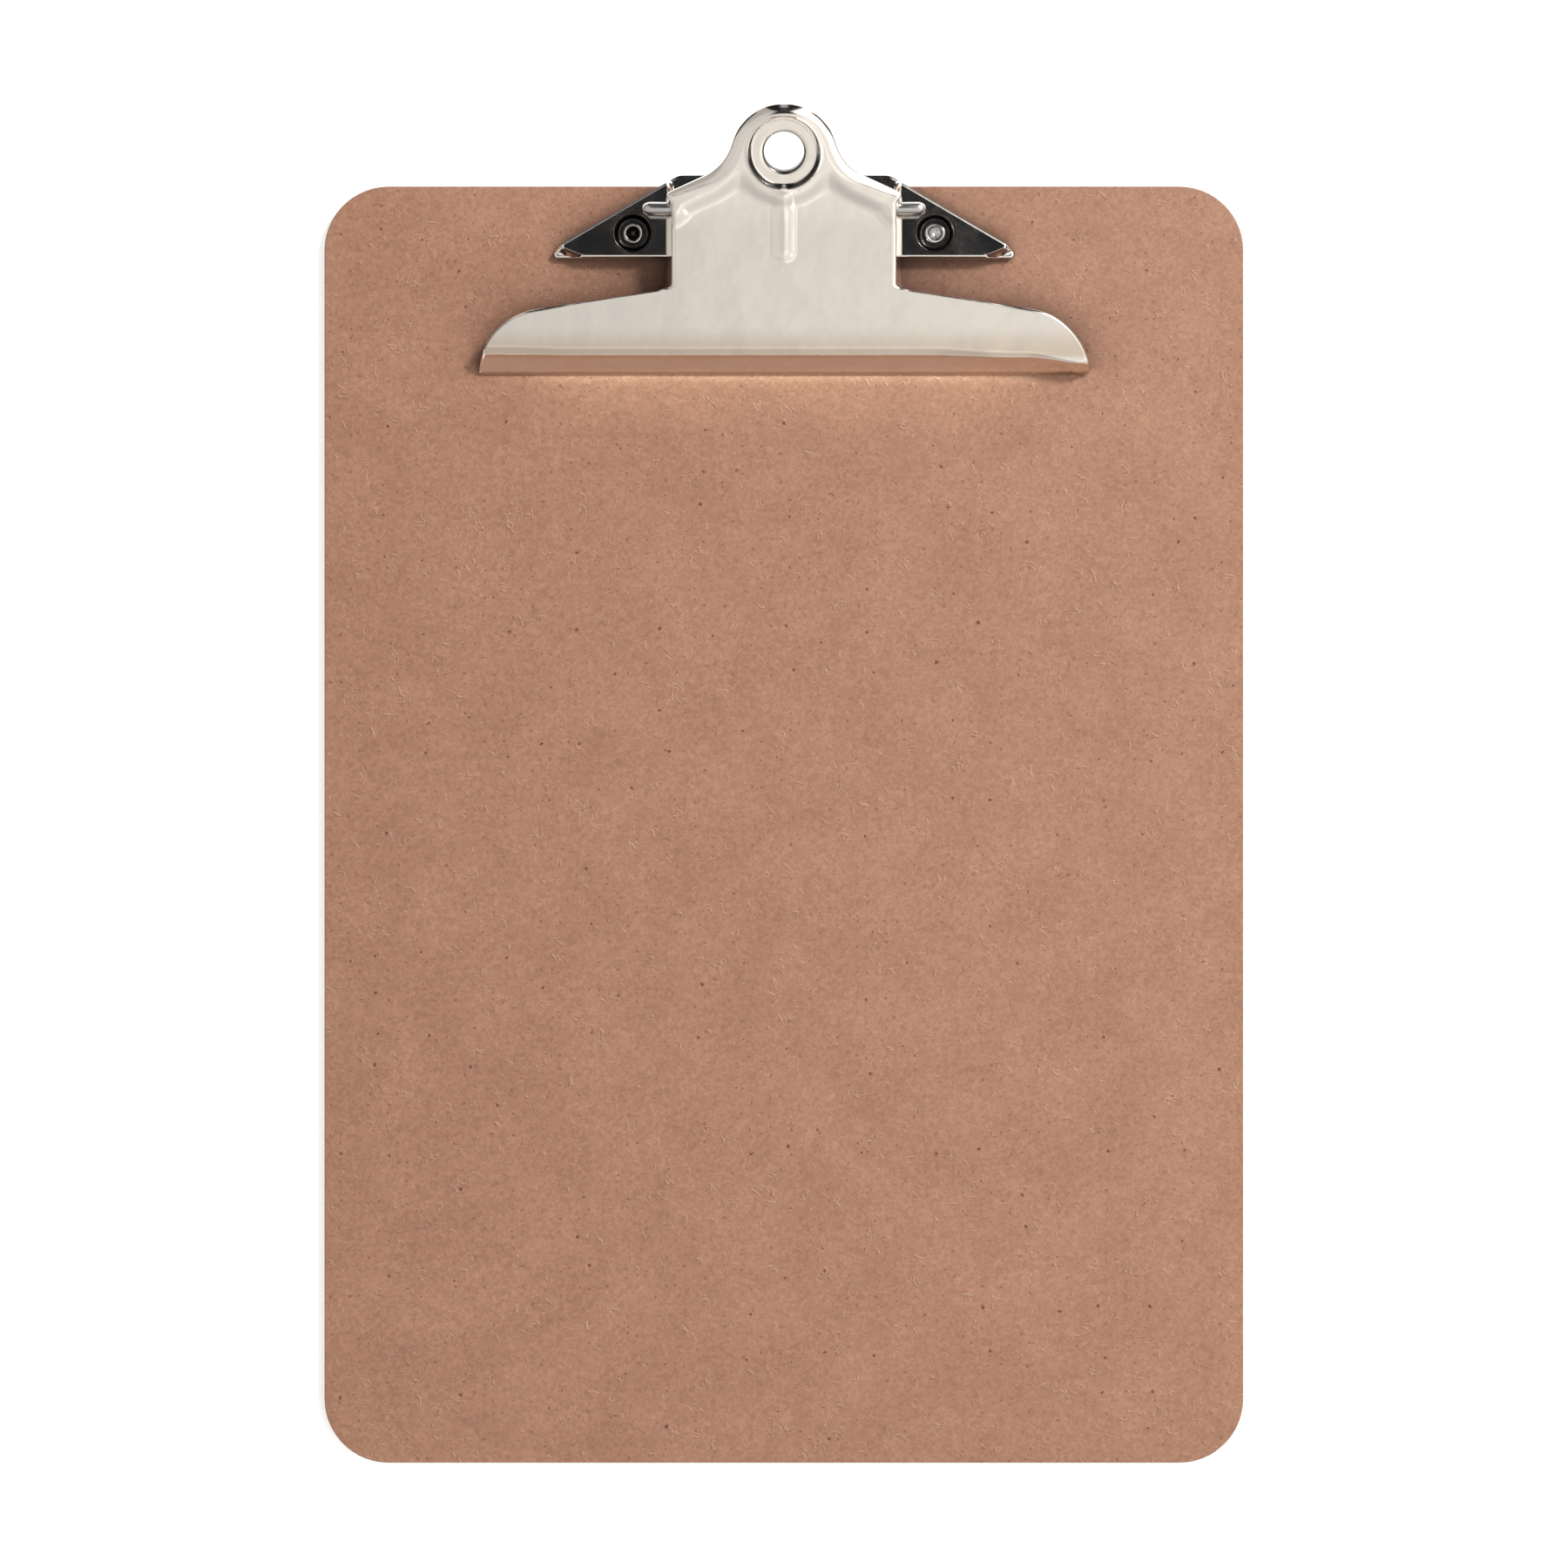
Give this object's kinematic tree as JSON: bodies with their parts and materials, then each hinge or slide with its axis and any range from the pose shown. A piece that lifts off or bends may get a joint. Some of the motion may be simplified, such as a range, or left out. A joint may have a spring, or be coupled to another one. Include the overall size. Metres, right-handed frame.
{
  "type": "clipboard",
  "caption": "Flat hardboard clipboard with rounded corners and a sprung steel butterfly clip with a hanging hole at its top edge.",
  "frame": {"origin": "centre of the board's back face", "axes": "+X to the right, +Y along the board towards the clip, +Z out of the writing face"},
  "size_m": [0.2286, 0.3355, 0.0261],
  "materials": {
    "hardboard": "smooth brown hardboard with short fibres and specks",
    "nickel_plate": "bright nickel plate with fine handling scratches",
    "pin_steel": "bright plated rod",
    "rivet_steel": "bright plate, scuffed where it was rolled",
    "spring_steel": "drawn spring wire"
  },
  "bodies": {
    "board_and_base": {"board": "hardboard", "base_plate": "nickel_plate", "hinge_pin": "pin_steel", "rivet_left": "rivet_steel", "rivet_right": "rivet_steel", "torsion_spring_left": "spring_steel", "torsion_spring_right": "spring_steel"},
    "lever": {"clip_lever": "nickel_plate"}
  },
  "joints": [
    {"name": "clip_hinge", "type": "hinge", "parent": "board_and_base", "child": "lever", "pos_m": [0, 0.1524, 0.0127], "axis": [-1, 0, 0], "range_deg": [0, 25], "stiffness_Nm_per_rad": 0.69, "springref_deg": -41.25, "deforming": ["torsion_spring_left", "torsion_spring_right"]}
  ]
}
